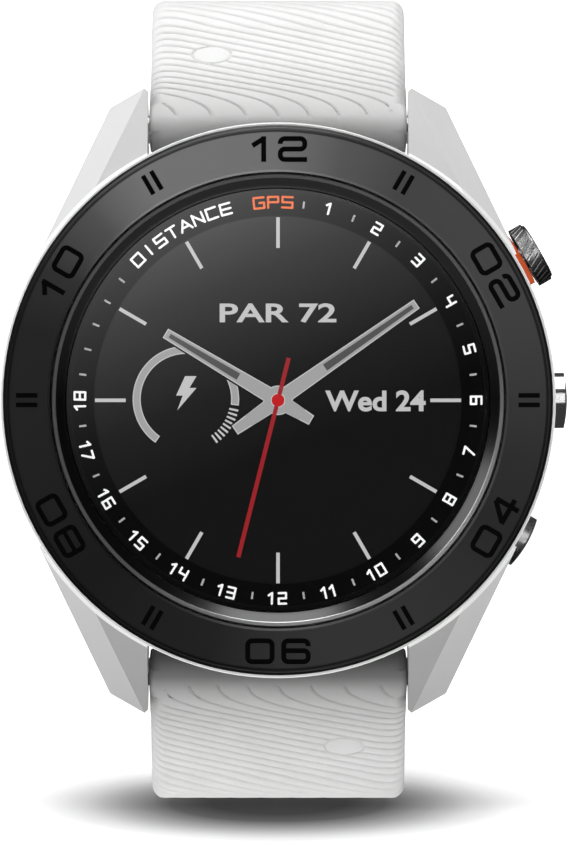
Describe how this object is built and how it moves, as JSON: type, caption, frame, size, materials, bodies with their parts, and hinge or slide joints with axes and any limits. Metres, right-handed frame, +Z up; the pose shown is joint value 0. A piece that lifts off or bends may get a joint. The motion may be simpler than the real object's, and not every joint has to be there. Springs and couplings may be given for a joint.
{
  "type": "golf gps watch",
  "caption": "Round sports watch for golf distances: white case and ribbed silicone strap, dark numbered bezel, display, side buttons, quick-release strap ends and buckle.",
  "frame": {"origin": "centre of the flat bottom face of the long strap half, on the surface that the watch stands on", "axes": "+Z up towards 12 o'clock, -Y out of the dial towards the viewer, +X towards 3 o'clock"},
  "size_m": [0.0482, 0.0996, 0.0694],
  "materials": {
    "white_case": "satin",
    "bezel": "satin",
    "bezel_infill": "gloss",
    "polished_steel": "polished",
    "steel": "satin",
    "lens_glass": "gloss",
    "black_seal": "satin",
    "dial_black": "matte",
    "display": "gloss",
    "board_green": "satin",
    "flex_amber": "satin",
    "cell_silver": "satin",
    "cover_grey": "matte",
    "gold_contact": "polished",
    "orange_trim": "gloss",
    "white_silicone": "matte"
  },
  "bodies": {
    "lower_strap": {"strap_lower": "white_silicone", "hook_lower": "steel", "latch_spring_lower": "steel"},
    "case": {"mid_case": "white_case", "bezel_ring": "bezel", "bezel_numerals": "bezel_infill", "inner_ring": "polished_steel", "lens": "lens_glass", "lens_gasket": "black_seal", "hole_ring": "dial_black", "display_panel": "display", "backlight": "dial_black", "display_frame": "dial_black", "display_flex": "flex_amber", "gps_antenna": "gold_contact", "main_board": "board_green", "shield_cans": "steel", "battery": "cell_silver", "vibration_motor": "steel", "back_cover": "cover_grey", "back_cover_seal": "black_seal", "back_cover_screws": "steel", "contact_block": "dial_black", "charging_contacts": "gold_contact", "button_tubes": "gold_contact", "orange_collar": "orange_trim", "tactile_switches": "dial_black", "button_flex": "flex_amber", "lug_bar_upper": "steel", "lug_bar_lower": "steel"},
    "upper_strap": {"strap_upper": "white_silicone", "hook_upper": "steel", "latch_spring_upper": "steel"},
    "upper_latch": {"latch_upper": "steel"},
    "lower_latch": {"latch_lower": "steel"},
    "start_button": {"start_button": "polished_steel", "start_button_seal": "black_seal", "start_button_clip": "steel"},
    "middle_button": {"middle_button": "polished_steel", "middle_button_seal": "black_seal", "middle_button_clip": "steel"},
    "lower_button": {"lower_button": "polished_steel", "lower_button_seal": "black_seal", "lower_button_clip": "steel"},
    "inner_keeper": {"keeper_inner": "white_silicone"},
    "outer_keeper": {"keeper_outer": "white_silicone"},
    "buckle": {"buckle_frame": "steel", "buckle_pin": "steel"},
    "tang": {"buckle_tang": "steel"}
  },
  "joints": [
    {"name": "case_pivot", "type": "hinge", "parent": "lower_strap", "child": "case", "pos_m": [0, -0.02507, 0.01148], "axis": [1, 0, 0], "range_deg": [-4, 70]},
    {"name": "strap_upper_pivot", "type": "hinge", "parent": "case", "child": "upper_strap", "pos_m": [0, -0.02507, 0.05788], "axis": [1, 0, 0], "range_deg": [-8, 70]},
    {"name": "start_button_press", "type": "slide", "parent": "case", "child": "start_button", "axis": [-0.866, 0, -0.5], "range_m": [0, 0.0005], "stiffness_N_per_m": 3000},
    {"name": "middle_button_press", "type": "slide", "parent": "case", "child": "middle_button", "axis": [-1, 0, 0], "range_m": [0, 0.0005], "stiffness_N_per_m": 3000},
    {"name": "lower_button_press", "type": "slide", "parent": "case", "child": "lower_button", "axis": [-0.866, 0, 0.5], "range_m": [0, 0.0005], "stiffness_N_per_m": 3000},
    {"name": "latch_upper_slide", "type": "slide", "parent": "upper_strap", "child": "upper_latch", "axis": [0, 0.5736, 0.8192], "range_m": [0, 0.0028], "stiffness_N_per_m": 600, "deforming": ["latch_spring_upper"]},
    {"name": "latch_lower_slide", "type": "slide", "parent": "lower_strap", "child": "lower_latch", "axis": [0, 0.5736, -0.8192], "range_m": [0, 0.0028], "stiffness_N_per_m": 600, "deforming": ["latch_spring_lower"]},
    {"name": "keeper_inner_slide", "type": "slide", "parent": "upper_strap", "child": "inner_keeper", "axis": [0, 0.8192, -0.5736], "range_m": [-0.001, 0.0033]},
    {"name": "keeper_outer_slide", "type": "slide", "parent": "upper_strap", "child": "outer_keeper", "axis": [0, 0.8192, -0.5736], "range_m": [-0.003, 0.0017]},
    {"name": "buckle_pivot", "type": "hinge", "parent": "upper_strap", "child": "buckle", "pos_m": [0, 0.03767, 0.04022], "axis": [1, 0, 0], "range_deg": [-30, 45]},
    {"name": "tang_pivot", "type": "hinge", "parent": "buckle", "child": "tang", "pos_m": [0, 0.03767, 0.04022], "axis": [1, 0, 0], "range_deg": [0, 95]}
  ]
}
